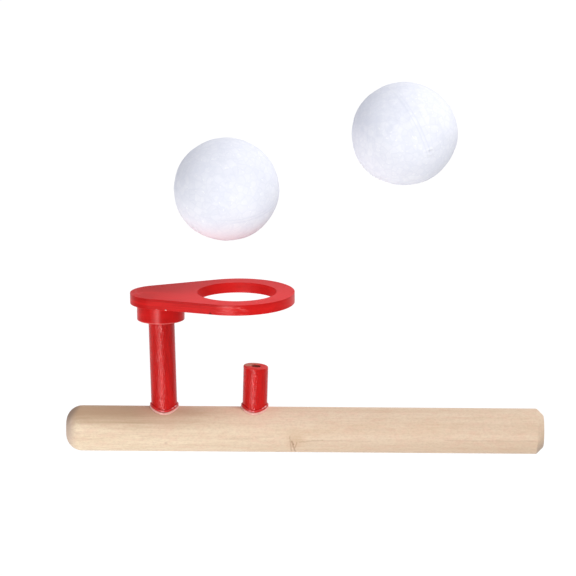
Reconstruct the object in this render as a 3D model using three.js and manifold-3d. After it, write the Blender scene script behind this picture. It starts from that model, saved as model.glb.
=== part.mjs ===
// A blow pipe toy: a wooden pipe with a side nozzle, and a ring on a post that catches a foam ball.
// Air blown in at the mouth end leaves the nozzle upwards and floats a ball over the ring.
// Millimetres. The origin is on the pipe's axis at half its length, +X towards the mouth end, +Z up.
import * as THREE from "three";
import { mergeVertices } from "three/addons/utils/BufferGeometryUtils.js";
import Module from "manifold-3d";

const wasm = await Module();
wasm.setup();

// Pipe: a turned dowel, bored from the mouth end to just past the nozzle
const pipeLength = 160;
const pipeRadius = 7.6;
const closedEndRounding = 5.5;
const mouthChamfer = 2.3;
const boreRadius = 3.25;
const borePastNozzle = 0.4;
const drillPointDegrees = 118;

// Post: a painted dowel that leans a little towards the closed end
const postRadius = 4.35;
const postPlace = -46.9; // where its axis meets the pipe's axis
const postLeanDegrees = -1.8;
const postSeatDepth = 6.7; // below the top of the pipe

// Nozzle: a shorter painted dowel with an air hole, leaning a little towards the mouth end
const nozzleRadius = 4.15;
const nozzlePlace = -17;
const nozzleLeanDegrees = 1.2;
const nozzleHeight = 14.35; // above the top of the pipe
const airHoleRadius = 1.5;
const seatIntoBore = 0.85; // how far the nozzle's seat breaks into the bore

// Ring: a drop-shaped plate with a hub under its small end, one moulding
const ringHeight = 39.44; // top face above the top of the pipe, over the post
const ringLeanDegrees = -0.75;
const ringReach = 25.42; // from the post's axis to the middle of the hole
const ringOuterRadius = 19.2;
const ringHoleRadius = 13.2;
const ringEndRadius = 10.15; // round end over the post
const ringThickness = 3.5;
const hubRadius = 7.93;
const hubHeight = 5.6;
const socketRoof = 2.46; // what is left above the post's socket

// Balls: expanded polystyrene, floating where the photograph has them
const ballRadius = 17.5;
const leftBallRise = 22.74; // above its seat in the ring
const leftBallDrift = -3.43; // along X from that seat
const rightBallRise = 75.6; // above the place where it would lie on the pipe
const rightBallPlace = 32;

// Glue and pooled paint squeezed out at the foot of each dowel
const glueWidth = 0.6;
const glueHeight = 1.2;
const glueGap = 0.2;

// Between a dowel and its seat or socket, and between a ball and what it comes to lie on
const fitGap = 0.3;
const dowelChamfer = 0.4;
const cutOverrun = 4; // how far a cutter stands out of what it cuts

// Fineness of the round shapes
const pipeSides = 56;
const roundingSteps = 8;
const dowelSides = 40;
const ringSteps = 28;
const ballDetail = 7;
const glueSteps = 48;
const glueSectionSteps = 4;

const materials = {
  bareWood: new THREE.MeshStandardMaterial({ color: 0xe5ccb2, roughness: 0.7, metalness: 0 }),
  redPaint: new THREE.MeshStandardMaterial({ color: 0xc8231f, roughness: 0.3, metalness: 0 }),
  redPlastic: new THREE.MeshStandardMaterial({ color: 0xd5302e, roughness: 0.45, metalness: 0 }),
  whiteFoam: new THREE.MeshStandardMaterial({ color: 0xf5f7fb, roughness: 0.9, metalness: 0 }),
  pinkGlue: new THREE.MeshStandardMaterial({ color: 0xdb8f83, roughness: 0.2, metalness: 0 }),
};

function solidFrom(geometry) {
  const bare = geometry.index ? geometry.toNonIndexed() : geometry.clone();
  bare.deleteAttribute("normal");
  bare.deleteAttribute("uv");
  const merged = mergeVertices(bare);
  const mesh = new wasm.Mesh({
    numProp: 3,
    vertProperties: merged.attributes.position.array,
    triVerts: new Uint32Array(merged.index.array),
  });
  return new wasm.Manifold(mesh);
}

function geometryFrom(solid) {
  const mesh = solid.getMesh();
  const geometry = new THREE.BufferGeometry();
  geometry.setAttribute("position", new THREE.BufferAttribute(new Float32Array(mesh.vertProperties), mesh.numProp));
  geometry.setIndex(new THREE.BufferAttribute(new Uint32Array(mesh.triVerts), 1));
  geometry.computeVertexNormals();
  return geometry;
}

function namedMesh(name, geometry, material) {
  const mesh = new THREE.Mesh(geometry, material);
  mesh.name = name;
  return mesh;
}

// A profile of [radius, height] points turned about +Z
function turned(profile, sides) {
  const points = profile.map(([radius, height]) => new THREE.Vector2(radius, height));
  return new THREE.LatheGeometry(points, sides).rotateX(Math.PI / 2);
}

// A plain cylinder along +Z from one height to another
function roundBar(radius, from, to) {
  const bar = new THREE.CylinderGeometry(radius, radius, to - from, dowelSides);
  return bar.rotateX(Math.PI / 2).translate(0, 0, (from + to) / 2);
}

// The frame of a dowel: on the pipe's axis at a place along it, turned about Y
function leaningFrame(place, leanDegrees) {
  const frame = new THREE.Group();
  frame.position.x = place;
  frame.rotation.y = THREE.MathUtils.degToRad(leanDegrees);
  frame.updateMatrix();
  return frame;
}

// Heights along a dowel's own axis, from the pipe's axis
const ringTop = (pipeRadius + ringHeight) / Math.cos(THREE.MathUtils.degToRad(postLeanDegrees));
const postFloor = pipeRadius - postSeatDepth;
const nozzleFloor = boreRadius - seatIntoBore;
const nozzleTop = pipeRadius + nozzleHeight;

const postFrame = leaningFrame(postPlace, postLeanDegrees);
const nozzleFrame = leaningFrame(nozzlePlace, nozzleLeanDegrees);

function pipeGeometry() {
  const closedEnd = -pipeLength / 2;
  const mouthEnd = pipeLength / 2;
  const boreEnd = nozzlePlace - nozzleRadius - borePastNozzle;
  const drillPoint = boreEnd - boreRadius / Math.tan(THREE.MathUtils.degToRad(drillPointDegrees / 2));
  const profile = [[0, closedEnd]];
  for (let step = 0; step <= roundingSteps; step += 1) {
    const turn = (Math.PI / 2) * (step / roundingSteps);
    profile.push([
      pipeRadius - closedEndRounding + closedEndRounding * Math.sin(turn),
      closedEnd + closedEndRounding - closedEndRounding * Math.cos(turn),
    ]);
  }
  profile.push([pipeRadius, mouthEnd - mouthChamfer]);
  profile.push([pipeRadius - mouthChamfer, mouthEnd]);
  profile.push([boreRadius, mouthEnd]);
  profile.push([boreRadius, boreEnd]);
  profile.push([0, drillPoint]);
  const body = turned(profile, pipeSides).rotateY(Math.PI / 2);

  const postSeat = roundBar(postRadius + fitGap, postFloor, pipeRadius + cutOverrun);
  const nozzleSeat = roundBar(nozzleRadius + fitGap, nozzleFloor, pipeRadius + cutOverrun);
  postSeat.applyMatrix4(postFrame.matrix);
  nozzleSeat.applyMatrix4(nozzleFrame.matrix);
  const drilled = solidFrom(body).subtract(solidFrom(postSeat)).subtract(solidFrom(nozzleSeat));
  return geometryFrom(drilled);
}

function postGeometry() {
  const foot = postFloor + fitGap;
  const top = ringTop - socketRoof - fitGap;
  return turned([
    [0, foot],
    [postRadius - dowelChamfer, foot],
    [postRadius, foot + dowelChamfer],
    [postRadius, top - dowelChamfer],
    [postRadius - dowelChamfer, top],
    [0, top],
  ], dowelSides);
}

function nozzleGeometry() {
  const foot = nozzleFloor + fitGap;
  return turned([
    [airHoleRadius, foot],
    [nozzleRadius - dowelChamfer, foot],
    [nozzleRadius, foot + dowelChamfer],
    [nozzleRadius, nozzleTop - dowelChamfer],
    [nozzleRadius - dowelChamfer, nozzleTop],
    [airHoleRadius, nozzleTop],
    [airHoleRadius, foot],
  ], dowelSides);
}

// Plate and hub, with the plate's top face at height zero and the hub's axis on +Z
function ringGeometry() {
  // The straight sides of the drop touch both round ends at this angle from +X
  const sideAngle = Math.acos((ringEndRadius - ringOuterRadius) / ringReach);
  const outline = new THREE.Shape();
  outline.absarc(0, 0, ringEndRadius, sideAngle, 2 * Math.PI - sideAngle, false);
  outline.absarc(ringReach, 0, ringOuterRadius, -sideAngle, sideAngle, false);
  const hole = new THREE.Path();
  hole.absarc(ringReach, 0, ringHoleRadius, 0, 2 * Math.PI, true);
  outline.holes.push(hole);
  const plate = new THREE.ExtrudeGeometry(outline, {
    depth: ringThickness,
    bevelEnabled: false,
    curveSegments: ringSteps,
  });
  plate.translate(0, 0, -ringThickness);

  const hubFoot = -ringThickness - hubHeight;
  const hub = roundBar(hubRadius, hubFoot, -ringThickness / 2);
  const socket = roundBar(postRadius + fitGap, hubFoot - cutOverrun, -socketRoof);
  return geometryFrom(solidFrom(plate).add(solidFrom(hub)).subtract(solidFrom(socket)));
}

// A closed ring whose foot follows the saddle where a leaning dowel meets the round pipe
function glueGeometry(dowelRadius, leanDegrees) {
  const lean = THREE.MathUtils.degToRad(leanDegrees);
  const section = [[0, 0]];
  for (let step = 0; step <= glueSectionSteps; step += 1) {
    const turn = (Math.PI / 2) * (step / glueSectionSteps);
    section.push([glueWidth * Math.cos(turn), glueHeight * Math.sin(turn)]);
  }
  const positions = [];
  const triangles = [];
  for (let step = 0; step < glueSteps; step += 1) {
    const around = 2 * Math.PI * (step / glueSteps);
    section.forEach(([outwards, upwards], corner) => {
      const radius = dowelRadius + glueGap + outwards;
      const onPipe = Math.sqrt((pipeRadius + glueGap) ** 2 - (radius * Math.sin(around)) ** 2);
      const saddle = (onPipe + Math.sin(lean) * radius * Math.cos(around)) / Math.cos(lean);
      positions.push(radius * Math.cos(around), radius * Math.sin(around), saddle + upwards);
      const here = step * section.length + corner;
      const next = step * section.length + ((corner + 1) % section.length);
      const beyond = ((step + 1) % glueSteps) * section.length;
      const hereBeyond = beyond + corner;
      const nextBeyond = beyond + ((corner + 1) % section.length);
      triangles.push(here, hereBeyond, next);
      triangles.push(next, hereBeyond, nextBeyond);
    });
  }
  const geometry = new THREE.BufferGeometry();
  geometry.setAttribute("position", new THREE.Float32BufferAttribute(positions, 3));
  geometry.setIndex(triangles);
  geometry.computeVertexNormals();
  return geometry;
}

const toy = new THREE.Group();
toy.add(namedMesh("pipe", pipeGeometry(), materials.bareWood));

postFrame.add(namedMesh("ring_post", postGeometry(), materials.redPaint));
postFrame.add(namedMesh("post_glue_bead", glueGeometry(postRadius, postLeanDegrees), materials.pinkGlue));
toy.add(postFrame);

nozzleFrame.add(namedMesh("air_nozzle", nozzleGeometry(), materials.redPaint));
nozzleFrame.add(namedMesh("nozzle_glue_bead", glueGeometry(nozzleRadius, nozzleLeanDegrees), materials.pinkGlue));
toy.add(nozzleFrame);

// The ring sits on the top of the post, a little more level than the post is upright
const ringFrame = new THREE.Group();
ringFrame.position.set(0, 0, ringTop).applyMatrix4(postFrame.matrix);
ringFrame.rotation.y = THREE.MathUtils.degToRad(ringLeanDegrees);
ringFrame.updateMatrix();
ringFrame.add(namedMesh("catch_ring", ringGeometry(), materials.redPlastic));
toy.add(ringFrame);

// The left ball floats over its seat: the place where it would lie in the ring's hole
const seatRise = Math.sqrt((ballRadius + fitGap) ** 2 - ringHoleRadius ** 2);
const leftBall = namedMesh("left_ball", new THREE.IcosahedronGeometry(ballRadius, ballDetail), materials.whiteFoam);
leftBall.position.set(ringReach, 0, seatRise).applyMatrix4(ringFrame.matrix);
leftBall.position.x += leftBallDrift;
leftBall.position.z += leftBallRise;
toy.add(leftBall);

const rightBall = namedMesh("right_ball", new THREE.IcosahedronGeometry(ballRadius, ballDetail), materials.whiteFoam);
rightBall.position.set(rightBallPlace, 0, pipeRadius + fitGap + ballRadius + rightBallRise);
toy.add(rightBall);

export default toy;
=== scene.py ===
# Blow pipe toy: the finished surfaces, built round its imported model.
# Metres, +Z up, +X towards the mouth end, seen from -Y. Patterns in the materials are in millimetres.
import math

import bpy
from mathutils import Matrix, Vector


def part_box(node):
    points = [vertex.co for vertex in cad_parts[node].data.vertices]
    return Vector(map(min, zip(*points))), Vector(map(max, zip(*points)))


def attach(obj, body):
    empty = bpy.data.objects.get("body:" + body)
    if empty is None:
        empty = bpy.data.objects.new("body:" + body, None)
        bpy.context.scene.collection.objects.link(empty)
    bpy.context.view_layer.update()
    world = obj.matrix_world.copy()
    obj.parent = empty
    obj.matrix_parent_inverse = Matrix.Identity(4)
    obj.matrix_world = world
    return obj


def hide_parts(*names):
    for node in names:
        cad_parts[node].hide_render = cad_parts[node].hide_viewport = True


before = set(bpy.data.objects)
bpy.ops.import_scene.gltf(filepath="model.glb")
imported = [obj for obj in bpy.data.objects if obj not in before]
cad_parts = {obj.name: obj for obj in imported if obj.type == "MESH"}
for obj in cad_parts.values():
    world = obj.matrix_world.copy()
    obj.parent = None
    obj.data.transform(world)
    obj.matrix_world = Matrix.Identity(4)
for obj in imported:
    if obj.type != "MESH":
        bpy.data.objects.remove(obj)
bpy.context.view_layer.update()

mm = 0.001

# Camera: a long lens square to the pipe, a little above it, held a trace off level
camera = {
    "target": (-6.01 * mm, 0, 48.77 * mm),
    "distance": 1151.5 * mm,
    "downDegrees": 13.5,
    "rollDegrees": 0.43,
    "lens": 216.6,
    "clip": (0.05, 50),
}


def addCamera():
    down = math.radians(camera["downDegrees"])
    back = Vector((0, -math.cos(down), math.sin(down))) * camera["distance"]
    bpy.ops.object.camera_add()
    eye = bpy.context.object
    eye.name = "camera"
    eye.data.lens = camera["lens"]
    eye.data.clip_start, eye.data.clip_end = camera["clip"]
    tilt = Matrix.Rotation(math.pi / 2 - down, 4, "X")
    roll = Matrix.Rotation(math.radians(camera["rollDegrees"]), 4, "Z")
    eye.matrix_world = Matrix.Translation(Vector(camera["target"]) + back) @ tilt @ roll
    bpy.context.scene.camera = eye


addCamera()
print("camera placed")


# Small helpers for modelling

def deselectAll():
    if bpy.context.object and bpy.context.object.mode != "OBJECT":
        bpy.ops.object.mode_set(mode="OBJECT")
    bpy.ops.object.select_all(action="DESELECT")


def pick(piece):
    deselectAll()
    piece.select_set(True)
    bpy.context.view_layer.objects.active = piece


def settle(piece):
    pick(piece)
    bpy.ops.object.transform_apply(location=True, rotation=True, scale=True)


def addCylinder(sides, radius, height, middle=(0, 0, 0), turnDegrees=0):
    # stands on Z, or lies along X when it is turned by 90 degrees
    bpy.ops.mesh.primitive_cylinder_add(vertices=sides, radius=radius, depth=height, location=middle,
                                        rotation=(0, math.radians(turnDegrees), 0))
    piece = bpy.context.object
    settle(piece)
    return piece


def applyModifier(piece, kind, **settings):
    pick(piece)
    modifier = piece.modifiers.new(kind.lower(), kind)
    for name, value in settings.items():
        setattr(modifier, name, value)
    bpy.ops.object.modifier_apply(modifier=modifier.name)


def combine(piece, operation, tool):
    applyModifier(piece, "BOOLEAN", operation=operation, object=tool, solver="EXACT")
    bpy.data.objects.remove(tool)


def softenEdges(piece, width, sharperThan=30):
    applyModifier(piece, "BEVEL", width=width, segments=3, limit_method="ANGLE",
                  angle_limit=math.radians(sharperThan))


def clearSelection(piece, mode):
    pick(piece)
    bpy.ops.object.mode_set(mode="EDIT")
    bpy.ops.mesh.select_mode(type=mode)
    bpy.ops.mesh.select_all(action="DESELECT")
    bpy.ops.object.mode_set(mode="OBJECT")


def selectVerts(piece, test):
    # leaves edit mode on, with exactly the vertices that pass the test selected
    clearSelection(piece, "VERT")
    for vert in piece.data.vertices:
        vert.select = test(vert.co)
    bpy.ops.object.mode_set(mode="EDIT")


def selectFaces(piece, test):
    clearSelection(piece, "FACE")
    for face in piece.data.polygons:
        face.select = test(face.center, face.normal)
    bpy.ops.object.mode_set(mode="EDIT")


def shadeByAngle(piece, degrees):
    # the large faces stay flat in the shading, and only the narrow bevels turn
    pick(piece)
    bpy.ops.object.shade_smooth_by_angle(angle=math.radians(degrees))
    applyModifier(piece, "WEIGHTED_NORMAL", keep_sharp=True)


def finishPiece(piece, name, body, node, material):
    settle(piece)
    piece.name = name
    piece.data.name = name
    piece.data.materials.clear()
    piece.data.materials.append(material)
    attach(piece, body)
    if node:
        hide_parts(node)


# Small helpers for materials

def linearColour(hexValue):
    shares = [int(hexValue[start:start + 2], 16) / 255 for start in (1, 3, 5)]
    return [s / 12.92 if s <= 0.04045 else ((s + 0.055) / 1.055) ** 2.4 for s in shares] + [1]


def addNode(tree, kind, values=None, links=None):
    # values set inputs by name or number, or else properties; links are input: (node, output)
    node = tree.nodes.new(kind)
    for key, value in (values or {}).items():
        if isinstance(key, int) or key in node.inputs:
            node.inputs[key].default_value = value
        else:
            setattr(node, key, value)
    for key, (source, output) in (links or {}).items():
        tree.links.new(source.outputs[output], node.inputs[key])
    return node


def startMaterial(name, base):
    # gives back the place on the object in millimetres, and the base colour that tints are laid over
    material = bpy.data.materials.new(name)
    material.use_nodes = True
    tree = material.node_tree
    tree.nodes.clear()
    shader = addNode(tree, "ShaderNodeBsdfPrincipled")
    addNode(tree, "ShaderNodeOutputMaterial", {}, {"Surface": (shader, "BSDF")})
    place = addNode(tree, "ShaderNodeTexCoord")
    inMm = addNode(tree, "ShaderNodeVectorMath", {"operation": "SCALE", "Scale": 1 / mm},
                   {0: (place, "Object")})
    colour = addNode(tree, "ShaderNodeMix", {"data_type": "RGBA", 0: 0, 6: linearColour(base)})
    return material, tree, shader, inMm, colour


def finishMaterial(tree, shader, colour, height, bump, roughness, specular):
    # bump is its strength and its height in millimetres
    skin = addNode(tree, "ShaderNodeBump", {"Strength": bump[0], "Distance": bump[1] * mm},
                   {"Height": height})
    tree.links.new(skin.outputs[0], shader.inputs["Normal"])
    tree.links.new(colour.outputs[2], shader.inputs["Base Color"])
    shader.inputs["Roughness"].default_value = roughness
    shader.inputs["Specular IOR Level"].default_value = specular


def tintWhere(tree, under, measure, none, full, share, tint, fade="SMOOTHSTEP"):
    # lays a tint over what is under it, from nothing at the measure none to its share at full
    settings = {"interpolation_type": fade, "From Min": none, "From Max": full, "To Max": share}
    amount = addNode(tree, "ShaderNodeMapRange", settings, {"Value": measure})
    return addNode(tree, "ShaderNodeMix", {"data_type": "RGBA", 7: linearColour(tint)},
                   {0: (amount, 0), 6: (under, 2)})


def tintSpot(tree, under, space, spot, edge, core, share, tint):
    # lays a tint round one place, whole inside the core and gone at the edge
    away = addNode(tree, "ShaderNodeVectorMath", {"operation": "DISTANCE", 1: spot}, {0: (space, 0)})
    return tintWhere(tree, under, (away, "Value"), edge, core, share, tint)


def whereAll(tree, limits):
    # a measure: 0 where any of the limits is at its first value, 1 where all are at their second
    met = None
    for measure, none, full in limits:
        part = addNode(tree, "ShaderNodeMapRange", {"From Min": none, "From Max": full}, {"Value": measure})
        if met:
            part = addNode(tree, "ShaderNodeMath", {"operation": "MULTIPLY"}, {0: (met, 0), 1: (part, 0)})
        met = part
    return met, 0


def stretchedNoise(tree, space, scale, detail, roughness=0.6, twist=0.0):
    # scale is how many of its lumps go to a millimetre in X, Y and Z
    stretch = addNode(tree, "ShaderNodeMapping", {"Scale": scale}, {"Vector": (space, 0)})
    settings = {"Scale": 1, "Detail": detail, "Roughness": roughness, "Distortion": twist}
    return addNode(tree, "ShaderNodeTexNoise", settings, {"Vector": (stretch, 0)})


def fromUpright(tree, space):
    # a measure: the distance from the Z axis of a space
    flat = addNode(tree, "ShaderNodeVectorMath", {"operation": "MULTIPLY", 1: (1, 1, 0)}, {0: (space, 0)})
    return addNode(tree, "ShaderNodeVectorMath", {"operation": "LENGTH"}, {0: (flat, 0)}), "Value"


def leaningSpace(tree, inMm, place, leanDegrees):
    # millimetres in the space of a piece that leans about Y
    settings = {"vector_type": "TEXTURE", "Location": [distance / mm for distance in place],
                "Rotation": (0, math.radians(leanDegrees), 0)}
    return addNode(tree, "ShaderNodeMapping", settings, {"Vector": (inMm, 0)})


# Birch, turned and sanded, left bare: pale, matt and even, with faint lines along the grain,
# a browner streak on the upper left that is partly heartwood and partly painted shadow of the ring,
# pink round the dowels that is partly paint stain and partly painted red bounce light, and one small knot.
# Its marks are strokes on the unrolled surface: X, then the way round in mm, up from the front.
wood = {
    "pale": "#eedabc",
    "tan": "#e3cdb3",
    "line": "#c9a683",
    "heartAndShadow": "#b49476",
    "blushAndBounce": "#e2b09a",
    "darkerEnd": "#cbb3a1",
    "paintedShadeEndTop": "#8a705e",
    "paintedShadeChamferUnder": "#a3958a",
    "mark": "#9c6d50",
    "tanSpan": (-75, 25),  # X where the tan tint starts and where it is whole, as in each span below
    "layers": {  # length and width in mm, detail, twist, noise that is bare and whole, share, tint
        "streaks": (60, 2.2, 3, 0.3, 0.4, 0.75, 0.26, "line"),
        "fibres": (5, 0.4, 3, 0, 0.35, 0.75, 0.28, "line"),  # the real ones are finer than a pixel
        "mottle": (3.2, 1.6, 2, 0, 0.4, 0.75, 0.24, "blushAndBounce"),
        "clouds": (30, 9, 2, 0, 0.5, 0.75, 0.2, "line"),
        "grit": (0.88, 0.55, 1, 0, 0.4, 0.7, 0.16, "heartAndShadow"),
    },
    "raggedness": 9,
    "heartAndShadowMiddle": 4.5,
    "heartAndShadowHalfWidth": 11.2,
    "heartAndShadowSlope": 0.08,
    "heartAndShadowSpan": (-14, -56),
    "heartAndShadowShare": 0.85,
    "bandHeights": (1, -6),
    "bandSpan": (-28, -5),
    "bandShare": 0.17,
    "faces": [  # the way a face looks, how nearly it does where bare and whole, share, tint
        ((-1, 0, 0), 0.25, 0.95, 0.9, "darkerEnd"),
        # painted shade on the closed end's upper left
        ((-0.72, 0.1, 0.68), 0.68, 1, 0.85, "paintedShadeEndTop"),
        ((1, 0, 0), 0.35, 0.95, 0.06, "line"),
        # painted shade on the underside of the mouth chamfer
        ((0.66, -0.3, -0.69), 0.7, 1, 0.42, "paintedShadeChamferUnder"),
    ],
    "marks": [  # from, to, half width, strength
        ((-5.05, -0.5), (-4.33, -8.0), 0.24, 0.34),
        ((-4.33, -2.1), (-4.06, -3.4), 0.3, 0.55),
        ((-4.06, -3.4), (-2.94, -8.4), 0.26, 0.5),
        ((-2.78, -2.5), (-3.34, -5.4), 0.22, 0.38),
        ((-1.8, -2.4), (5.8, -1.6), 0.3, 0.24),
        ((5.8, -1.6), (22, -1.9), 0.25, 0.12),
        ((-25, -1.2), (-17.5, -1.2), 0.4, 0.1),
        ((-16.3, -0.5), (-10.5, -0.4), 0.4, 0.1),
        ((47, -1.3), (77, -1.5), 0.3, 0.12),
        ((14, 2.2), (30, 2.0), 0.4, 0.1),
        ((50, 3.4), (76, 3.2), 1.8, 0.08),
        ((-46.5, -3.2), (-46.3, -3.25), 0.45, 0.22),
    ],
    "markWobble": 0.7,
    "knotHalo": ((-3.1, -1.4), 5, 0.5),  # middle, radius, strength
    "stainsAndBounce": [(-47.3, 0, 7.6), (-16.8, 0, 7.6)],
    "stainAndBounceEdge": 13,
    "stainAndBounceCore": 4,
    "stainAndBounceShare": 0.24,
    "bump": (0.3, 0.05),
    "roughness": 0.6,
    "specular": 0.2,
}


def sandedBirch():
    material, tree, shader, inMm, colour = startMaterial("sandedBirch", wood["pale"])
    axes = addNode(tree, "ShaderNodeSeparateXYZ", {}, {0: (inMm, 0)})
    colour = tintWhere(tree, colour, (axes, "X"), *wood["tanSpan"], 1, wood["tan"])
    noises = {}
    for layer, (length, width, detail, twist, none, full, share, tint) in wood["layers"].items():
        scale = (1 / length, 1 / width, 1 / width)
        noises[layer] = stretchedNoise(tree, inMm, scale, detail, twist=twist)
        colour = tintWhere(tree, colour, (noises[layer], "Fac"), none, full, share, wood[tint])
    # The surface unrolled: X, and the way round from the front
    forward = addNode(tree, "ShaderNodeMath", {"operation": "MULTIPLY", 1: -1.0}, {0: (axes, "Y")})
    angle = addNode(tree, "ShaderNodeMath", {"operation": "ARCTAN2"}, {0: (axes, "Z"), 1: (forward, 0)})
    around = addNode(tree, "ShaderNodeMath", {"operation": "MULTIPLY", 1: pipe["radius"] / mm},
                     {0: (angle, 0)})
    unrolled = addNode(tree, "ShaderNodeCombineXYZ", {}, {"X": (axes, "X"), "Y": (around, 0)})
    # Heartwood and painted shadow of the ring: a band along the upper front with ragged borders, which slopes
    # down and fades out
    ragged = addNode(tree, "ShaderNodeMath", {"operation": "MULTIPLY_ADD", 1: wood["raggedness"],
                     2: -wood["raggedness"] / 2}, {0: (noises["streaks"], "Fac")})
    border = addNode(tree, "ShaderNodeMath", {"operation": "ADD"}, {0: (around, 0), 1: (ragged, 0)})
    sloped = addNode(tree, "ShaderNodeMath", {"operation": "MULTIPLY_ADD", 1: wood["heartAndShadowSlope"]},
                     {0: (axes, "X"), 2: (border, 0)})
    offMiddle = addNode(tree, "ShaderNodeMath", {"operation": "SUBTRACT", 1: wood["heartAndShadowMiddle"]},
                        {0: (sloped, 0)})
    offMiddle = addNode(tree, "ShaderNodeMath", {"operation": "ABSOLUTE"}, {0: (offMiddle, 0)})
    heartAndShadow = whereAll(tree, [((offMiddle, 0), wood["heartAndShadowHalfWidth"], 0), ((axes, "X"), *wood["heartAndShadowSpan"])])
    colour = tintWhere(tree, colour, heartAndShadow, 0, 0.85, wood["heartAndShadowShare"], wood["heartAndShadow"])
    # A faint brown band low on the front, from under the nozzle to the mouth end
    band = whereAll(tree, [((border, 0), *wood["bandHeights"]), ((axes, "X"), *wood["bandSpan"])])
    colour = tintWhere(tree, colour, band, 0, 1, wood["bandShare"], wood["line"])
    # Pink round each dowel: partly paint stain and partly painted red bounce light from the dowels and ring
    for spot in wood["stainsAndBounce"]:
        colour = tintSpot(tree, colour, inMm, spot, wood["stainAndBounceEdge"], wood["stainAndBounceCore"],
                          wood["stainAndBounceShare"], wood["blushAndBounce"])
    # End grain soaks up more and looks darker, and the closed end is tinted darker still; the closed end's
    # upper left and the underside of the mouth chamfer carry painted shade
    normal = addNode(tree, "ShaderNodeNewGeometry")
    for way, none, full, share, tint in wood["faces"]:
        facing = addNode(tree, "ShaderNodeVectorMath", {"operation": "DOT_PRODUCT", 1: way},
                         {0: (normal, "Normal")})
        colour = tintWhere(tree, colour, (facing, "Value"), none, full, share, wood[tint])
    # Knot and single strokes, none of them quite straight
    wobble = addNode(tree, "ShaderNodeTexNoise", {"Scale": 0.8, "Detail": 2}, {"Vector": (inMm, 0)})
    sway = wood["markWobble"]
    shift = addNode(tree, "ShaderNodeVectorMath", {"operation": "MULTIPLY_ADD", 1: (sway, sway, 0),
                    2: (-sway / 2, -sway / 2, 0)}, {0: (wobble, "Color")})
    drawn = addNode(tree, "ShaderNodeVectorMath", {"operation": "ADD"}, {0: (unrolled, 0), 1: (shift, 0)})
    middle, radius, strength = wood["knotHalo"]
    colour = tintSpot(tree, colour, drawn, middle + (0,), radius, 0, strength, wood["line"])
    for start, end, halfWidth, strength in wood["marks"]:
        along = Vector(end) - Vector(start)
        offset = addNode(tree, "ShaderNodeVectorMath", {"operation": "SUBTRACT", 1: start + (0,)},
                         {0: (drawn, 0)})
        measure = tuple(along / along.length_squared) + (0,)
        dot = addNode(tree, "ShaderNodeVectorMath", {"operation": "DOT_PRODUCT", 1: measure},
                      {0: (offset, 0)})
        share = addNode(tree, "ShaderNodeClamp", {}, {0: (dot, "Value")})
        nearest = addNode(tree, "ShaderNodeVectorMath", {"operation": "SCALE", 0: tuple(along) + (0,)},
                          {"Scale": (share, 0)})
        gap = addNode(tree, "ShaderNodeVectorMath", {"operation": "DISTANCE"},
                      {0: (offset, 0), 1: (nearest, 0)})
        colour = tintWhere(tree, colour, (gap, "Value"), 1.5 * halfWidth, 0.3 * halfWidth, strength,
                           wood["mark"])
    finishMaterial(tree, shader, colour, (noises["fibres"], "Fac"), wood["bump"], wood["roughness"],
                   wood["specular"])
    return material


# Alkyd enamel on dipped dowels: a glossy red skin, wrinkled along the grain, chipped off at the nozzle's tip
enamel = {
    "red": "#cb1613",
    "deep": "#ac100e",
    "tipSheenRed": "#e84a46",
    "bareWood": "#c08a72",
    "drilledWood": "#94483c",
    "tipChips": [  # places on the tip, moved by the noise that makes the borders ragged, and radius
        ((-1.7, 1.4, 22), 1.9),
        ((-0.2, 4, 22), 1.3),
        ((1.2, 3.6, 22), 1),
    ],
    "chipRaggedness": 1.6,
    "chipShare": 0.85,
    "tipSheenDepths": (0.4, 0.1),  # under the tip, where the painted sheen starts and where it is whole
    "tipSheenShare": 0.45,
    "holeRim": 0.25,
    "wrinkleLength": 0.65,
    "wrinkleWidth": 0.55,
    "runScale": (1.1, 1.1, 0.16),
    "runHeight": 0.18,  # against the wrinkles' height
    "deepShare": 0.8,
    "bump": (1.0, 0.19),
    "roughness": 0.2,
    "dullRoughness": 0.65,
    "specular": 0.2,
    "glossTint": "#ffc8c8",
}


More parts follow.
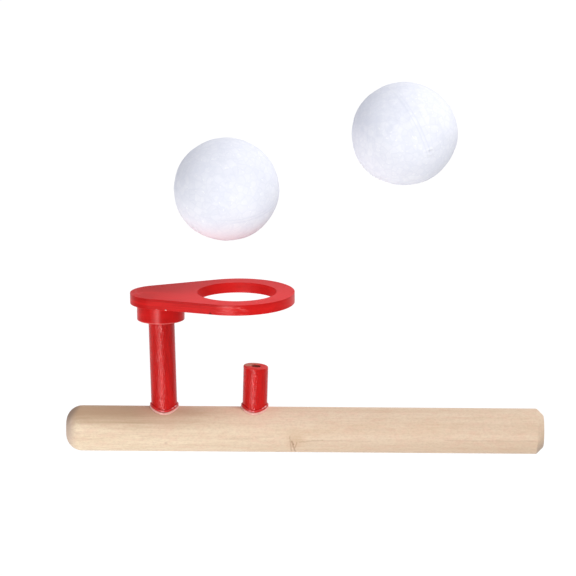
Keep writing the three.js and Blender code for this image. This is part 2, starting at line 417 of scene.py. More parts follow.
def dippedEnamel(name, sizes):
    material, tree, shader, inMm, colour = startMaterial(name, enamel["red"])
    dowelSpace = leaningSpace(tree, inMm, (sizes["place"], 0, 0), sizes["leanDegrees"])
    wrinkleScale = (1 / enamel["wrinkleWidth"], 1 / enamel["wrinkleWidth"], 1 / enamel["wrinkleLength"])
    wrinkles = stretchedNoise(tree, dowelSpace, wrinkleScale, 2)
    runs = stretchedNoise(tree, dowelSpace, enamel["runScale"], 3)
    colour = tintWhere(tree, colour, (runs, "Fac"), 0.35, 0.75, enamel["deepShare"], enamel["deep"],
                       "LINEAR")
    if "airHole" in sizes:
        # The tip is dull, with a paler red round its top edge as painted sheen, chips show bare wood at its
        # back, and the drilled hole is dark
        axes = addNode(tree, "ShaderNodeSeparateXYZ", {}, {0: (dowelSpace, 0)})
        top, hole = sizes["top"] / mm, sizes["airHole"] / mm
        sheenFrom, sheenWhole = enamel["tipSheenDepths"]
        onTip = addNode(tree, "ShaderNodeMapRange", {"From Min": top - sheenFrom,
                        "From Max": top - sheenWhole}, {"Value": (axes, "Z")})
        colour = tintWhere(tree, colour, (onTip, 0), 0, 1, enamel["tipSheenShare"], enamel["tipSheenRed"])
        chipNoise = addNode(tree, "ShaderNodeTexNoise", {"Scale": 1.1, "Detail": 2},
                            {"Vector": (dowelSpace, 0)})
        sway = enamel["chipRaggedness"]
        ragged = addNode(tree, "ShaderNodeVectorMath", {"operation": "MULTIPLY_ADD", 1: (sway, sway, 0)},
                         {0: (chipNoise, "Color"), 2: (dowelSpace, 0)})
        for spot, radius in enamel["tipChips"]:
            colour = tintSpot(tree, colour, ragged, spot, radius, 0.6 * radius, enamel["chipShare"],
                              enamel["bareWood"])
        inHole = addNode(tree, "ShaderNodeMapRange", {"From Min": hole + enamel["holeRim"],
                         "From Max": hole}, {"Value": fromUpright(tree, dowelSpace)})
        colour = tintWhere(tree, colour, (inHole, 0), 0, 1, 1, enamel["drilledWood"], "LINEAR")
        dull = addNode(tree, "ShaderNodeMath", {"operation": "MAXIMUM"}, {0: (onTip, 0), 1: (inHole, 0)})
        rough = addNode(tree, "ShaderNodeMapRange", {"To Min": enamel["roughness"],
                        "To Max": enamel["dullRoughness"]}, {"Value": (dull, 0)})
        tree.links.new(rough.outputs[0], shader.inputs["Roughness"])
    heights = addNode(tree, "ShaderNodeMath", {"operation": "MULTIPLY_ADD", 1: enamel["runHeight"]},
                      {0: (runs, "Fac"), 2: (wrinkles, "Fac")})
    finishMaterial(tree, shader, colour, (heights, 0), enamel["bump"], enamel["roughness"],
                   enamel["specular"])
    shader.inputs["Specular Tint"].default_value = linearColour(enamel["glossTint"])
    return material


# Polystyrene, injection moulded and a little scuffed: one even red with a soft sheen, faint flow marks,
# pale scuffs on the front of the rim and a dark nick at its lower edge
plastic = {
    "red": "#d41d1b",
    "flow": "#bc1514",
    "line": "#a51010",
    "scuff": "#ea6a66",
    "nick": "#5c0c0c",
    "paintedGlint": "#f6d6d0",
    "hubRimHighlight": "#ec8a84",
    "paintedLight": "#e4383a",
    "dustAndSheen": "#c98a90",
    "flowScale": (0.12, 0.12, 0.5),
    "scratchScale": (0.22, 0.22, 2.2),
    "dustScale": (0.9, 0.3, 0.9),
    "lineScale": (0.03, 0.03, 1.3),
    "scuffPlace": (-24.5, -19, 45.3),
    "scuffEdge": 7.5,
    "scuffCore": 2,
    "spots": [  # place, edge, core, strength, tint
        ((-31.4, -17.2, 43.9), 0.75, 0.35, 0.8, "nick"),
        # painted glints: the two pale spots on the hub just under the plate
        ((-46.2, -11.6, 43.6), 0.45, 0.18, 0.8, "paintedGlint"),
        ((-49.3, -10.5, 43.5), 0.5, 0.2, 0.16, "paintedGlint"),
    ],
    "paintedLightSpan": (-6, 13),  # X from the hub, where it starts and where it is whole, as in the next one
    "dustAndSheenSpan": (2, -10),
    "flowShare": 0.7,
    "scuffShare": 0.6,
    "paintedLightShare": 0.8,
    "dustAndSheenShare": 0.2,
    "lineShare": 0.55,
    "hubRimHighlightShare": 0.5,
    "bump": (0.3, 0.05),
    "roughness": 0.28,
    "plateRoughness": 0.36,
    "rubbedRoughness": 0.56,
    "specular": 0.12,
    "glossTint": "#ffc8c8",
}


def mouldedPolystyrene():
    material, tree, shader, inMm, colour = startMaterial("mouldedPolystyrene", plastic["red"])
    normal = addNode(tree, "ShaderNodeNewGeometry")
    facing = addNode(tree, "ShaderNodeSeparateXYZ", {}, {0: (normal, "Normal")})
    # The ring's own space starts on its upper face, over the hub
    ringSpace = leaningSpace(tree, inMm, ring["place"], ring["leanDegrees"])
    axes = addNode(tree, "ShaderNodeSeparateXYZ", {}, {0: (ringSpace, 0)})
    fromHole = addNode(tree, "ShaderNodeVectorMath", {"operation": "DISTANCE", 1: (ring["reach"] / mm, 0, 0)},
                       {0: (ringSpace, 0)})
    flow = stretchedNoise(tree, inMm, plastic["flowScale"], 4, twist=0.4)
    colour = tintWhere(tree, colour, (flow, "Fac"), 0.4, 0.7, plastic["flowShare"], plastic["flow"], "LINEAR")
    # Scuffs: long fine scratches, only near one place on the rim and only on upright faces
    scratches = stretchedNoise(tree, inMm, plastic["scratchScale"], 3, 0.65)
    fromScuff = addNode(tree, "ShaderNodeVectorMath", {"operation": "DISTANCE", 1: plastic["scuffPlace"]},
                        {0: (inMm, 0)})
    settings = {"interpolation_type": "SMOOTHSTEP", "From Min": plastic["scuffEdge"],
                "From Max": plastic["scuffCore"]}
    nearScuff = addNode(tree, "ShaderNodeMapRange", settings, {"Value": (fromScuff, "Value")})
    scuffed = whereAll(tree, [((scratches, "Fac"), 0.52, 0.62), ((nearScuff, 0), 0, 1),
                              ((facing, "Z"), 0.8, 0.4)])
    colour = tintWhere(tree, colour, scuffed, 0, 1, plastic["scuffShare"], plastic["scuff"])
    for spot, edge, core, strength, tint in plastic["spots"]:
        colour = tintSpot(tree, colour, inMm, spot, edge, core, strength, plastic[tint])
    # The upper face is painted brighter round the hole, as painted light, and paler and greyer at the small
    # end, partly dust and partly painted reflection
    raised = ((facing, "Z"), 0.6, 0.95)
    paintedLight = whereAll(tree, [((axes, "X"), *plastic["paintedLightSpan"]), raised])
    colour = tintWhere(tree, colour, paintedLight, 0, 1, plastic["paintedLightShare"], plastic["paintedLight"])
    # Paler, greyer pink at the small end: dust grains and painted reflection
    grains = stretchedNoise(tree, inMm, plastic["dustScale"], 2, 0.5)
    dustAndSheen = whereAll(tree, [((axes, "X"), *plastic["dustAndSheenSpan"]), raised, ((grains, "Fac"), 0, 1)])
    colour = tintWhere(tree, colour, dustAndSheen, 0.3, 0.7, plastic["dustAndSheenShare"], plastic["dustAndSheen"])
    # Fine lines run round the plate's rim, darkest under the upper edge and on the straight sides
    lines = stretchedNoise(tree, ringSpace, plastic["lineScale"], 2, 0.5)
    belowTop = addNode(tree, "ShaderNodeMapRange", {"From Min": -1.0, "From Max": -0.5, "To Max": 0.4},
                       {"Value": (axes, "Z")})
    lines = addNode(tree, "ShaderNodeMath", {"operation": "ADD"}, {0: (lines, "Fac"), 1: (belowTop, 0)})
    fading = [  # nothing in the hole, on the upper face and on the hub, and less towards the large end
        ({"From Min": 15, "From Max": 16}, (fromHole, "Value")),
        ({"From Min": 0.5, "From Max": 0.1}, (facing, "Z")),
        ({"From Min": -3.7, "From Max": -3.3}, (axes, "Z")),
        ({"From Min": 26, "From Max": 17, "To Min": 0.55}, (axes, "X")),
    ]
    for settings, measure in fading:
        part = addNode(tree, "ShaderNodeMapRange", settings, {"Value": measure})
        lines = addNode(tree, "ShaderNodeMath", {"operation": "MULTIPLY"}, {0: (lines, 0), 1: (part, 0)})
    colour = tintWhere(tree, colour, (lines, 0), 0.35, 0.68, plastic["lineShare"], plastic["line"])
    # A thin paler line round the hub's lower rim: a painted highlight
    rim = -(ring["thickness"] + ring["hubHeight"]) / mm
    hub = ring["hub"] / mm
    fromHub = fromUpright(tree, ringSpace)
    rimHighlight = whereAll(tree, [((axes, "Z"), rim + 0.4, rim + 0.15), (fromHub, hub - 0.7, hub - 0.2)])
    colour = tintWhere(tree, colour, rimHighlight, 0, 1, plastic["hubRimHighlightShare"], plastic["hubRimHighlight"])
    skin = addNode(tree, "ShaderNodeTexNoise", {"Scale": 1.6, "Detail": 3}, {"Vector": (inMm, 0)})
    finishMaterial(tree, shader, colour, (skin, "Fac"), plastic["bump"], plastic["roughness"],
                   plastic["specular"])
    shader.inputs["Specular Tint"].default_value = linearColour(plastic["glossTint"])
    # The hub keeps the mould's gloss, handling dulled the plate, and the balls its top and the hole's wall
    settings = {"From Min": -3.9, "From Max": -3.3, "To Min": plastic["roughness"],
                "To Max": plastic["plateRoughness"]}
    rough = addNode(tree, "ShaderNodeMapRange", settings, {"Value": (axes, "Z")})
    for measure, none, full in [((facing, "Z"), 0.4, 0.9), ((fromHole, "Value"), 14, 13.4)]:
        settings = {"From Min": none, "From Max": full, "To Max": plastic["rubbedRoughness"]}
        part = addNode(tree, "ShaderNodeMapRange", settings, {"Value": measure})
        rough = addNode(tree, "ShaderNodeMath", {"operation": "MAXIMUM"}, {0: (rough, 0), 1: (part, 0)})
    tree.links.new(rough.outputs[0], shader.inputs["Roughness"])
    return material


# Expanded polystyrene, steamed in a mould: fused white beads, matt, with joints that only just show
foam = {
    "white": "#f2f3f8",
    "joint": "#d9dce8",
    "cloud": "#e4e6f0",
    "speck": "#ffffff",
    "paintedLight": "#f3dde2",
    "beadSize": 2.3,
    "beadWarp": 1.4,
    "jointWidth": 0.16,
    "jointShare": 0.2,
    "beadShare": 0.25,
    "cloudSize": 7,
    "cloudShare": 0.32,
    "speckSize": 0.9,
    "speckShare": 0.6,
    "paintedLightShare": 0.55,
    "patchSize": 2.6,
    "patchiness": 17,
    "patchEdge": 18,
    "patchCore": 27,
    "seamLine": 0.6,  # from the seam to each of its two lines
    "seamShare": 0.34,
    "bump": (0.4, 0.1),
    "roughness": 0.8,
    "specular": 0.2,
}


def fusedFoam(name, node, look):
    material, tree, shader, inMm, colour = startMaterial(name, foam["white"])
    moved = addNode(tree, "ShaderNodeVectorMath", {"operation": "ADD", 1: (look["offset"],) * 3},
                    {0: (inMm, 0)})
    bent = addNode(tree, "ShaderNodeTexNoise", {"Scale": 0.5, "Detail": 1}, {"Vector": (moved, 0)})
    warped = addNode(tree, "ShaderNodeVectorMath", {"operation": "MULTIPLY_ADD", 1: (foam["beadWarp"],) * 3},
                     {0: (bent, "Color"), 2: (moved, 0)})
    beadScale = 1 / foam["beadSize"]
    edges = addNode(tree, "ShaderNodeTexVoronoi", {"feature": "DISTANCE_TO_EDGE", "Scale": beadScale},
                    {"Vector": (warped, 0)})
    settings = {"feature": "SMOOTH_F1", "Scale": beadScale, "Smoothness": 0.4}
    cells = addNode(tree, "ShaderNodeTexVoronoi", settings, {"Vector": (warped, 0)})
    cellShade = addNode(tree, "ShaderNodeSeparateColor", {}, {0: (cells, "Color")})
    settings = {"interpolation_type": "SMOOTHSTEP", "From Max": foam["jointWidth"],
                "To Min": foam["jointShare"], "To Max": 0}
    joint = addNode(tree, "ShaderNodeMapRange", settings, {"Value": (edges, "Distance")})
    share = addNode(tree, "ShaderNodeMath", {"operation": "MULTIPLY_ADD", 1: foam["beadShare"]},
                    {0: (cellShade, 0), 2: (joint, 0)})
    colour = tintWhere(tree, colour, (share, 0), 0, 1, 1, foam["joint"], "LINEAR")
    clouds = addNode(tree, "ShaderNodeTexNoise", {"Scale": 1 / foam["cloudSize"], "Detail": 3},
                     {"Vector": (moved, 0)})
    colour = tintWhere(tree, colour, (clouds, "Fac"), 0.42, 0.65, foam["cloudShare"], foam["cloud"], "LINEAR")
    specks = addNode(tree, "ShaderNodeTexNoise", {"Scale": 1 / foam["speckSize"], "Detail": 1},
                     {"Vector": (warped, 0)})
    colour = tintWhere(tree, colour, (specks, "Fac"), 0.68, 0.74, foam["speckShare"], foam["speck"], "LINEAR")
    if "paintedLightHeights" in look:
        # Painted red bounce light from the ring, low on the ball
        axes = addNode(tree, "ShaderNodeSeparateXYZ", {}, {0: (inMm, 0)})
        colour = tintWhere(tree, colour, (axes, "Z"), *look["paintedLightHeights"], foam["paintedLightShare"],
                           foam["paintedLight"])
    # The mould's seam shows on one side, as two faint lines beside the sphere's equator
    low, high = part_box(node)
    fromCentre = addNode(tree, "ShaderNodeVectorMath", {"operation": "SUBTRACT", 1: (low + high) / (2 * mm)},
                         {0: (inMm, 0)})
    offSeam = addNode(tree, "ShaderNodeVectorMath", {"operation": "DOT_PRODUCT", 1: look["seam"]},
                      {0: (fromCentre, 0)})
    offLine = addNode(tree, "ShaderNodeMath", {"operation": "ABSOLUTE"}, {0: (offSeam, "Value")})
    offLine = addNode(tree, "ShaderNodeMath", {"operation": "SUBTRACT", 1: foam["seamLine"]},
                      {0: (offLine, 0)})
    offLine = addNode(tree, "ShaderNodeMath", {"operation": "ABSOLUTE"}, {0: (offLine, 0)})
    seamSide = addNode(tree, "ShaderNodeVectorMath", {"operation": "DOT_PRODUCT", 1: look["seamSide"]},
                       {0: (fromCentre, 0)})
    drawn = whereAll(tree, [((offLine, 0), 0.35, 0.05), ((seamSide, "Value"), 10, 16)])
    colour = tintWhere(tree, colour, drawn, 0, 1, foam["seamShare"], foam["joint"])
    # Painted shade: the side away from the light is a little darker, in patches
    paintedShadeSide = addNode(tree, "ShaderNodeVectorMath", {"operation": "DOT_PRODUCT", 1: look["paintedShadeSide"]},
                       {0: (fromCentre, 0)})
    patches = addNode(tree, "ShaderNodeTexNoise", {"Scale": 1 / foam["patchSize"], "Detail": 3},
                      {"Vector": (moved, 0)})
    patchy = addNode(tree, "ShaderNodeMath", {"operation": "MULTIPLY_ADD", 1: foam["patchiness"]},
                     {0: (patches, "Fac"), 2: (paintedShadeSide, "Value")})
    colour = tintWhere(tree, colour, (patchy, 0), foam["patchEdge"], foam["patchCore"], look["paintedShadeShare"],
                       foam["joint"])
    dome = addNode(tree, "ShaderNodeMapRange", {"interpolation_type": "SMOOTHSTEP", "From Max": 0.3},
                   {"Value": (edges, "Distance")})
    finishMaterial(tree, shader, colour, (dome, 0), foam["bump"], foam["roughness"], foam["specular"])
    return material


# Wood glue with paint bled into it, set hard: pale pink and glossy; the lip above it is pooled enamel,
# with painted highlights on its ridges
glue = {
    "skirt": {"light": "#ecbbae", "dark": "#da9c8c", "specular": 0.2, "roughness": 0.22, "paintedHighlights": []},
    "lip": {
        "light": "#c91613",
        "dark": "#a80f0d",
        "specular": 0.4,
        "roughness": 0.36,
        "paintedHighlights": [  # place, radius and strength of painted highlights on the lips' ridges
            ((-13.4, -2.6, 9), 0.95, 0.9),
            ((-14.2, -3.5, 8.7), 0.75, 0.8),
            ((-18.6, -4.6, 7.35), 0.9, 0.15),
            ((-17.4, -4.9, 7.3), 0.7, 0.2),
            ((-43.3, -2.7, 9), 1.0, 0.6),
            ((-44.2, -3.8, 8.5), 0.8, 0.4),
            ((-47.5, -4.9, 7.3), 0.8, 0.12),
        ],
    },
    "paintedLight": "#f6cdca",
    "darkShare": 0.7,
    "bump": (0.5, 0.15),
}


def setGlue(name, look):
    material, tree, shader, inMm, colour = startMaterial(name, look["light"])
    cloud = addNode(tree, "ShaderNodeTexNoise", {"Scale": 0.8, "Detail": 3}, {"Vector": (inMm, 0)})
    colour = tintWhere(tree, colour, (cloud, "Fac"), 0.4, 0.7, glue["darkShare"], look["dark"], "LINEAR")
    # Painted highlights on the lips' ridges
    for spot, radius, strength in look["paintedHighlights"]:
        colour = tintSpot(tree, colour, inMm, spot, radius, 0.4 * radius, strength, glue["paintedLight"])
    finishMaterial(tree, shader, colour, (cloud, "Fac"), glue["bump"], look["roughness"], look["specular"])
    return material


# Pipe: turned dowel with a rounded closed end, a chamfered mouth end, a drilled bore and two seats
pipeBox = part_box("pipe")
pipe = {
    "sides": 128,
    "length": pipeBox[1].x - pipeBox[0].x,
    "radius": pipeBox[1].y,
    "endRounding": 5.5 * mm,
    "endSegments": 14,
    "mouthChamfer": 2.3 * mm,
    "bore": 3.25 * mm,
    "boreEnd": -21.55 * mm,
    "drillPoint": 1.95 * mm,
    "wornEdge": 0.3 * mm,
    "seatGap": 0.04 * mm,
    "seatCuts": 6 * mm,  # each side of a seat, cuts across the pipe keep the seat's odd faces short
    "drillLength": 20 * mm,
    "drillSides": 96,
    "smoothDegrees": 35,
}

# Dowels: both stand on the pipe's axis and lean a little
dowel = {
    "sides": 72,
    "smoothDegrees": 40,
}
post = {
    "radius": 4.35 * mm,
    "place": -46.9 * mm,
    "leanDegrees": -1.8,
    "foot": 1.2 * mm,
    "seat": 0.9 * mm,
    "top": 44.3 * mm,
    "edge": 0.4 * mm,
}
nozzle = {
    "radius": 4.15 * mm,
    "place": -17 * mm,
    "leanDegrees": 1.2,
    "foot": 2.7 * mm,
    "seat": 2.4 * mm,
    "top": 21.95 * mm,
    "airHole": 1.5 * mm,
    "edge": 0.3 * mm,
    "topSlopeDegrees": 2.8,
}


def leanTurn(place, leanDegrees):
    return Matrix.Translation(place) @ Matrix.Rotation(math.radians(leanDegrees), 4, "Y")


def dowelTurn(sizes):
    return leanTurn((sizes["place"], 0, 0), sizes["leanDegrees"])


def pipePiece():
    half = pipe["length"] / 2
    piece = addCylinder(pipe["sides"], pipe["radius"], pipe["length"], turnDegrees=90)
    selectVerts(piece, lambda co: co.x < -half + mm)
    bpy.ops.mesh.bevel(offset=pipe["endRounding"], segments=pipe["endSegments"], profile=0.5, affect="EDGES")
    selectVerts(piece, lambda co: co.x > half - mm)
    bpy.ops.mesh.bevel(offset=pipe["mouthChamfer"], segments=1, affect="EDGES")
    selectFaces(piece, lambda centre, normal: centre.x > half - mm and normal.x > 0.99)
    bpy.ops.mesh.inset(thickness=pipe["radius"] - pipe["mouthChamfer"] - pipe["bore"])
    bpy.ops.mesh.extrude_region_move(TRANSFORM_OT_translate={"value": (pipe["boreEnd"] - half, 0, 0)})
    bpy.ops.mesh.extrude_region_move(TRANSFORM_OT_translate={"value": (-pipe["drillPoint"], 0, 0)})
    bpy.ops.mesh.merge(type="CENTER")
    bpy.ops.object.mode_set(mode="OBJECT")
    softenEdges(piece, pipe["wornEdge"])
    for sizes in (post, nozzle):
        for cut in (-pipe["seatCuts"], pipe["seatCuts"]):
            bpy.ops.object.mode_set(mode="EDIT")
            bpy.ops.mesh.select_all(action="SELECT")
            bpy.ops.mesh.bisect(plane_co=(sizes["place"] + cut, 0, 0), plane_no=(1, 0, 0))
            bpy.ops.object.mode_set(mode="OBJECT")
        drill = addCylinder(pipe["drillSides"], sizes["radius"] + pipe["seatGap"], pipe["drillLength"],
                            (0, 0, sizes["seat"] + pipe["drillLength"] / 2))
        drill.matrix_world = dowelTurn(sizes)
        combine(piece, "DIFFERENCE", drill)
    pick(piece)
    bpy.ops.object.shade_smooth_by_angle(angle=math.radians(pipe["smoothDegrees"]))
    finishPiece(piece, "turned_pipe", "blow_pipe", "pipe", sandedBirch())


pipePiece()
print("pipe turned")


def dowelBlank(sizes):
    return addCylinder(dowel["sides"], sizes["radius"], sizes["top"] - sizes["foot"],
                       (0, 0, (sizes["foot"] + sizes["top"]) / 2))


def finishDowel(piece, name, node, sizes, materialName):
    softenEdges(piece, sizes["edge"])
    shadeByAngle(piece, dowel["smoothDegrees"])
    piece.matrix_world = dowelTurn(sizes)
    finishPiece(piece, name, "blow_pipe", node, dippedEnamel(materialName, sizes))


def nozzleBlank():
    piece = dowelBlank(nozzle)
    selectFaces(piece, lambda centre, normal: abs(normal.z) > 0.99)
    bpy.ops.mesh.inset(thickness=nozzle["radius"] - nozzle["airHole"])
    bpy.ops.mesh.bridge_edge_loops()
    # The saw left the top a little out of square
    selectVerts(piece, lambda co: co.z > nozzle["top"] - mm)
    bpy.ops.transform.rotate(value=math.radians(-nozzle["topSlopeDegrees"]), orient_axis="Y",
                             center_override=(0, 0, nozzle["top"]))
    bpy.ops.object.mode_set(mode="OBJECT")
    return piece


finishDowel(dowelBlank(post), "painted_post", "ring_post", post, "alkydEnamelOnPost")
finishDowel(nozzleBlank(), "painted_nozzle", "air_nozzle", nozzle, "alkydEnamelOnNozzle")
print("dowels painted")

# Glue squeezed out round each foot: a red lip against the dowel and a pink skirt on the wood
bead = {
    "sides": 96,
    "guideSides": 256,
    "ovalSteps": 5,
    "lip": {"out": 0.14 * mm, "halfWidth": 0.3 * mm, "halfHeight": 0.43 * mm, "lift": 1.02 * mm},
    "skirt": {"out": 0.2 * mm, "halfWidth": 0.42 * mm, "halfHeight": 0.42 * mm, "lift": 0.2 * mm},
}


def saddleBand(sizes, section):
    # A circle dropped on the pipe, then thickened with an oval section that stays upright
    guide = addCylinder(bead["guideSides"], pipe["radius"], pipe["length"], turnDegrees=90)
    bpy.ops.mesh.primitive_circle_add(vertices=bead["sides"], radius=sizes["radius"] + section["out"],
                                      location=(0, 0, 0))
    band = bpy.context.object
    band.matrix_world = dowelTurn(sizes) @ Matrix.Translation((0, 0, 3 * pipe["radius"]))
    applyModifier(band, "SHRINKWRAP", target=guide, wrap_method="PROJECT", use_project_z=True,
                  use_negative_direction=True, use_positive_direction=False)
    bpy.data.objects.remove(guide)
    settle(band)
    bpy.ops.object.convert(target="CURVE")
    bpy.ops.curve.primitive_bezier_circle_add(radius=1)
    oval = bpy.context.object
    oval.data.resolution_u = bead["ovalSteps"]
    oval.scale = (section["halfWidth"], section["halfHeight"], 1)
    settle(oval)
    band.data.twist_mode = "Z_UP"
    band.data.bevel_mode = "OBJECT"
    band.data.bevel_object = oval
    pick(band)
    bpy.ops.object.convert(target="MESH")
    bpy.data.objects.remove(oval)
    band.location.z += section["lift"]
    settle(band)
    bpy.ops.object.mode_set(mode="EDIT")
    bpy.ops.mesh.select_all(action="SELECT")
    bpy.ops.mesh.remove_doubles(threshold=0.001 * mm)
    bpy.ops.mesh.normals_make_consistent(inside=False)
    bpy.ops.object.mode_set(mode="OBJECT")
    bpy.ops.object.shade_smooth()
    return band


pinkGlue = setGlue("paintedWoodGlue", glue["skirt"])
redLip = setGlue("pooledAlkydEnamel", glue["lip"])
for sizes, name, node in ((post, "post_glue", "post_glue_bead"), (nozzle, "nozzle_glue", "nozzle_glue_bead")):
    finishPiece(saddleBand(sizes, bead["lip"]), name + "_lip", "blow_pipe", None, redLip)
    finishPiece(saddleBand(sizes, bead["skirt"]), name, "blow_pipe", node, pinkGlue)
print("glue squeezed out")

# Ring: a flat moulding in the shape of a drop, with a hub that takes the post
ring = {
    "sides": 160,
    "outer": 19.2 * mm,
    "hole": 13.2 * mm,
    "smallEnd": 10.15 * mm,
    "reach": 25.42 * mm,
    "thickness": 3.5 * mm,
    "hub": 7.93 * mm,
    "hubHeight": 5.6 * mm,
    "place": (-48.378 * mm, 0, 47.04 * mm),
    "leanDegrees": -0.75,
    "softEdge": 0.15 * mm,
    "socketRoof": 2.46 * mm,
    "socketGap": 0.06 * mm,
    "hubSides": 96,
    "sharpDegrees": 50,
    "smoothDegrees": 35,
}


def ringPiece():
    sideAngle = math.acos((ring["smallEnd"] - ring["outer"]) / ring["reach"])
    middle = (ring["reach"], 0, 0)
    bpy.ops.mesh.primitive_circle_add(vertices=ring["sides"], radius=ring["outer"], location=middle)
    piece = bpy.context.object
    settle(piece)
    bpy.ops.object.mode_set(mode="EDIT")
    bpy.ops.mesh.select_all(action="DESELECT")
    bpy.ops.mesh.primitive_circle_add(vertices=ring["sides"], radius=ring["hole"], location=middle)
    bpy.ops.mesh.select_all(action="SELECT")
    bpy.ops.mesh.bridge_edge_loops()
    # The far side of the outer circle shrinks and moves over the hub, which leaves straight sides
    selectVerts(piece, lambda co: co.x < ring["reach"] + ring["outer"] * math.cos(sideAngle)
                and (co - Vector(middle)).length > (ring["outer"] + ring["hole"]) / 2)
    share = ring["smallEnd"] / ring["outer"]
    bpy.ops.transform.resize(value=(share, share, share), center_override=middle)
    bpy.ops.transform.translate(value=(-ring["reach"], 0, 0))
    bpy.ops.mesh.select_all(action="SELECT")
    bpy.ops.mesh.extrude_region_move(TRANSFORM_OT_translate={"value": (0, 0, -ring["thickness"])})
    bpy.ops.mesh.select_all(action="SELECT")
    bpy.ops.mesh.normals_make_consistent(inside=False)
    bpy.ops.object.mode_set(mode="OBJECT")
    # The hub goes a millimetre up into the plate, and the post's socket is drilled up into the hub
    bottom = -ring["thickness"] - ring["hubHeight"]
    height = ring["hubHeight"] + mm
    hub = addCylinder(ring["hubSides"], ring["hub"], height, (0, 0, bottom + height / 2))
    combine(piece, "UNION", hub)
    drill = addCylinder(ring["hubSides"], post["radius"] + ring["socketGap"],
                        2 * (-bottom - ring["socketRoof"]), (0, 0, bottom))
    combine(piece, "DIFFERENCE", drill)
    softenEdges(piece, ring["softEdge"], ring["sharpDegrees"])
    shadeByAngle(piece, ring["smoothDegrees"])
    piece.matrix_world = leanTurn(ring["place"], ring["leanDegrees"])
    finishPiece(piece, "moulded_ring", "blow_pipe", "catch_ring", mouldedPolystyrene())


ringPiece()
print("ring moulded")

# Balls: moulded foam, a little out of round, with bead dimples, a mould seam and the mark of a steam vent.
# Sides and vents are directions from a ball's middle, and the seam lies square to its own direction.
balls = {
    "left_ball": {
        "name": "left_foam_ball",
        "offset": 3.7,
        "stretch": (0.995, 1.0, 0.98),
        "squash": 0.985,
        "squashSide": (0.1, 0, -1),
        "seam": (0.03, -0.428, 0.903),
        "seamSide": (0.69, -0.63, -0.36),
        "paintedShadeSide": (-0.6, -0.45, 0.66),
        "paintedShadeShare": 0.25,
        "vent": (-0.55, -0.5, -0.67),
        "paintedLightHeights": (75, 66),  # Z where the painted red bounce ends and where it is whole
    },
    "right_ball": {
        "name": "right_foam_ball",
        "offset": 41.3,
        "stretch": (1.0, 1.0, 0.985),
        "squash": 0.965,
        "squashSide": (0.38, 0, -0.92),
        "seam": (0.87, 0.335, 0.363),
        "seamSide": (0.21, -0.89, 0.42),
        "paintedShadeSide": (-0.57, -0.44, 0.69),
        "paintedShadeShare": 0.5,
        "vent": (0.46, -0.87, -0.16),
    },
}
mould = {
    "around": 256,
    "seamHalfWidth": 0.22 * mm,
    "seamLift": 1.004,  # times its distance from the middle
    "ventRadius": 1.5 * mm,
    "ventHeight": 0.3 * mm,
    "pitRadius": 0.825 * mm,
    "pitDepth": 0.48 * mm,
    "relief": [  # pattern, size, height, and the pattern's value that leaves the skin where it is
        ("CLOUDS", 14 * mm, 0.6 * mm, 0.5),
        ("VORONOI", 2.3 * mm, -0.05 * mm, 0.3),
    ],
}


def ballPiece(node, look):
    low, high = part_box(node)
    centre = (low + high) / 2
    radius = (high.x - low.x) / 2
    bpy.ops.mesh.primitive_uv_sphere_add(segments=mould["around"], ring_count=mould["around"] // 2,
                                         radius=radius, location=(0, 0, 0))
    piece = bpy.context.object
    # Seam: the sphere's equator, where the halves of the mould met, becomes a thin raised line
    selectVerts(piece, lambda co: abs(co.z) < 0.01 * mm)
    bpy.ops.mesh.bevel(offset=mould["seamHalfWidth"], segments=2, affect="EDGES")
    selectVerts(piece, lambda co: abs(co.z) < 0.01 * mm)
    lift = mould["seamLift"]
    bpy.ops.transform.resize(value=(lift, lift, 1), center_override=(0, 0, 0))
    bpy.ops.object.mode_set(mode="OBJECT")
    piece.rotation_euler = Vector(look["seam"]).to_track_quat("Z", "Y").to_euler()
    settle(piece)
    # Vent: a small flat disc with a pit in the middle
    outwards = Vector(look["vent"]).normalized()
    vent = outwards * radius
    selectVerts(piece, lambda co: (co - vent).length < mould["ventRadius"])
    bpy.ops.transform.translate(value=outwards * mould["ventHeight"])
    selectVerts(piece, lambda co: (co - vent).length < mould["pitRadius"])
    bpy.ops.transform.translate(value=outwards * -mould["pitDepth"])
    bpy.ops.object.mode_set(mode="OBJECT")
    piece.scale = look["stretch"]
    settle(piece)
    # One side came out of the mould a little flatter: turned down, squashed and turned back
    turnDown = Vector(look["squashSide"]).rotation_difference(Vector((0, 0, -1)))
    piece.rotation_mode = "QUATERNION"
    piece.rotation_quaternion = turnDown
    settle(piece)
    selectVerts(piece, lambda co: co.z < 0)
    bpy.ops.transform.resize(value=(1, 1, look["squash"]), center_override=(0, 0, 0))
    bpy.ops.object.mode_set(mode="OBJECT")
    piece.rotation_quaternion = turnDown.inverted()
    settle(piece)
    for kind, size, strength, level in mould["relief"]:
        relief = bpy.data.textures.new(look["name"] + "_" + kind.lower(), kind)
        relief.noise_scale = size
        applyModifier(piece, "DISPLACE", texture=relief, strength=strength, mid_level=level,
                      texture_coords="LOCAL")
    pick(piece)
    bpy.ops.object.shade_smooth()
    piece.location = centre
    finishPiece(piece, look["name"], node, node,
                fusedFoam("expandedPolystyrene_" + look["name"], node, look))


for node, look in balls.items():
    ballPiece(node, look)
print("balls moulded")

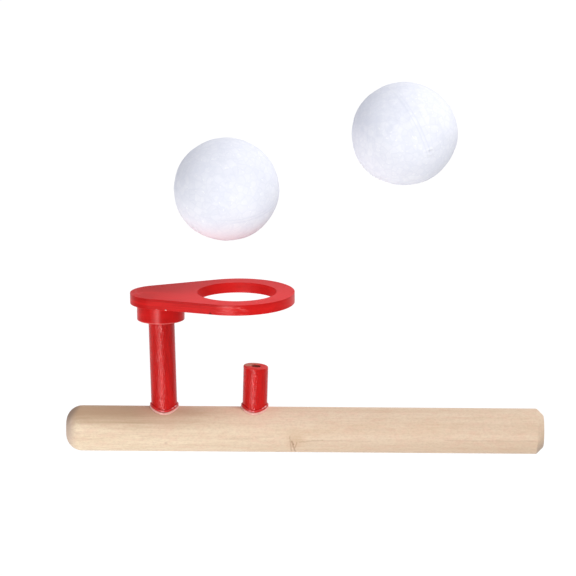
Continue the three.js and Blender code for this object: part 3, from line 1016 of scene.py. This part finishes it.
# Room: the floor is far below, because the toy is in the air, and white to the camera but for the shadow
room = {
    "floorHeight": -1.3,
    "floorSize": 80,
    "floorPaint": "#f2f2f2",
    "floorGlow": 0.92,
    "floorLit": 0.2,  # what the lamps add to the glow
    "fill": "#f8f9ff",
    "fillStrength": 0.76,
    "darkSide": (-0.62, -0.3, 0.72),  # the corner of the studio with no light in it
    "darkShare": 0.72,
}
lamps = {  # degrees right of the camera's side and up from level, distance and size in metres, radiance
    "highRightSoftbox": {"right": 50, "up": 50, "distance": 0.8, "size": (0.34, 0.34), "radiance": 8.5},
    "lowLeftSoftbox": {"right": -36, "up": -26, "distance": 0.8, "size": (0.25, 0.4), "radiance": 6.5},
    "tableBounce": {"right": -20, "up": -58, "distance": 0.8, "size": (0.3, 0.3), "radiance": 5.2},
    "glossCard": {"right": -18, "up": -13, "distance": 0.8, "size": (0.215, 0.3), "radiance": 30},
}


def whiteToCamera(tree, path):
    # 1 for what the camera sees, also in gloss and through glass
    direct = addNode(tree, "ShaderNodeMath", {"operation": "MAXIMUM"},
                     {0: (path, "Is Camera Ray"), 1: (path, "Is Glossy Ray")})
    return addNode(tree, "ShaderNodeMath", {"operation": "MAXIMUM"},
                   {0: (direct, 0), 1: (path, "Is Transmission Ray")})


def addFloor():
    bpy.ops.mesh.primitive_plane_add(size=room["floorSize"], location=(0, 0, room["floorHeight"]))
    floor = bpy.context.object
    settle(floor)
    floor.name = "floor"
    material = bpy.data.materials.new("palePaintedFloor")
    material.use_nodes = True
    tree = material.node_tree
    tree.nodes.clear()
    paint = addNode(tree, "ShaderNodeBsdfDiffuse", {"Color": linearColour(room["floorPaint"])})
    lit = addNode(tree, "ShaderNodeBsdfDiffuse", {"Color": (room["floorLit"],) * 3 + (1,)})
    glow = addNode(tree, "ShaderNodeEmission", {"Strength": room["floorGlow"]})
    bright = addNode(tree, "ShaderNodeAddShader", {}, {0: (lit, 0), 1: (glow, 0)})
    path = addNode(tree, "ShaderNodeLightPath")
    mix = addNode(tree, "ShaderNodeMixShader", {},
                  {0: (whiteToCamera(tree, path), 0), 1: (paint, 0), 2: (bright, 0)})
    addNode(tree, "ShaderNodeOutputMaterial", {}, {"Surface": (mix, 0)})
    floor.data.materials.append(material)


def addWorld():
    world = bpy.data.worlds.new("studio")
    bpy.context.scene.world = world
    world.use_nodes = True
    tree = world.node_tree
    tree.nodes.clear()
    path = addNode(tree, "ShaderNodeLightPath")
    # The fill comes from all round and is weaker from the dark side
    direction = addNode(tree, "ShaderNodeTexCoord")
    darkness = addNode(tree, "ShaderNodeVectorMath", {"operation": "DOT_PRODUCT", 1: room["darkSide"]},
                       {0: (direction, "Generated")})
    settings = {"From Min": -0.1, "To Min": room["fillStrength"],
                "To Max": room["darkShare"] * room["fillStrength"]}
    strength = addNode(tree, "ShaderNodeMapRange", settings, {"Value": (darkness, "Value")})
    light = addNode(tree, "ShaderNodeBackground", {"Color": linearColour(room["fill"])},
                    {"Strength": (strength, 0)})
    white = addNode(tree, "ShaderNodeBackground", {"Color": (1, 1, 1, 1), "Strength": 1})
    mix = addNode(tree, "ShaderNodeMixShader", {},
                  {0: (whiteToCamera(tree, path), 0), 1: (light, 0), 2: (white, 0)})
    addNode(tree, "ShaderNodeOutputWorld", {}, {"Surface": (mix, 0)})


def addLamp(name, settings):
    right = math.radians(settings["right"])
    up = math.radians(settings["up"])
    away = Vector((math.sin(right) * math.cos(up), -math.cos(right) * math.cos(up), math.sin(up)))
    bpy.ops.object.light_add(type="AREA", location=Vector(camera["target"]) + away * settings["distance"])
    lamp = bpy.context.object
    lamp.name = name
    lamp.data.shape = "RECTANGLE"
    lamp.data.size, lamp.data.size_y = settings["size"]
    lamp.data.energy = settings["radiance"] * math.pi * lamp.data.size * lamp.data.size_y
    lamp.rotation_euler = away.to_track_quat("Z", "Y").to_euler()
    lamp.visible_camera = False
    # The card only puts the long highlights on the paint
    lamp.visible_diffuse = name != "glossCard"


addFloor()
addWorld()
for name, settings in lamps.items():
    addLamp(name, settings)
bpy.context.scene.view_settings.view_transform = "Standard"
print("studio lit")
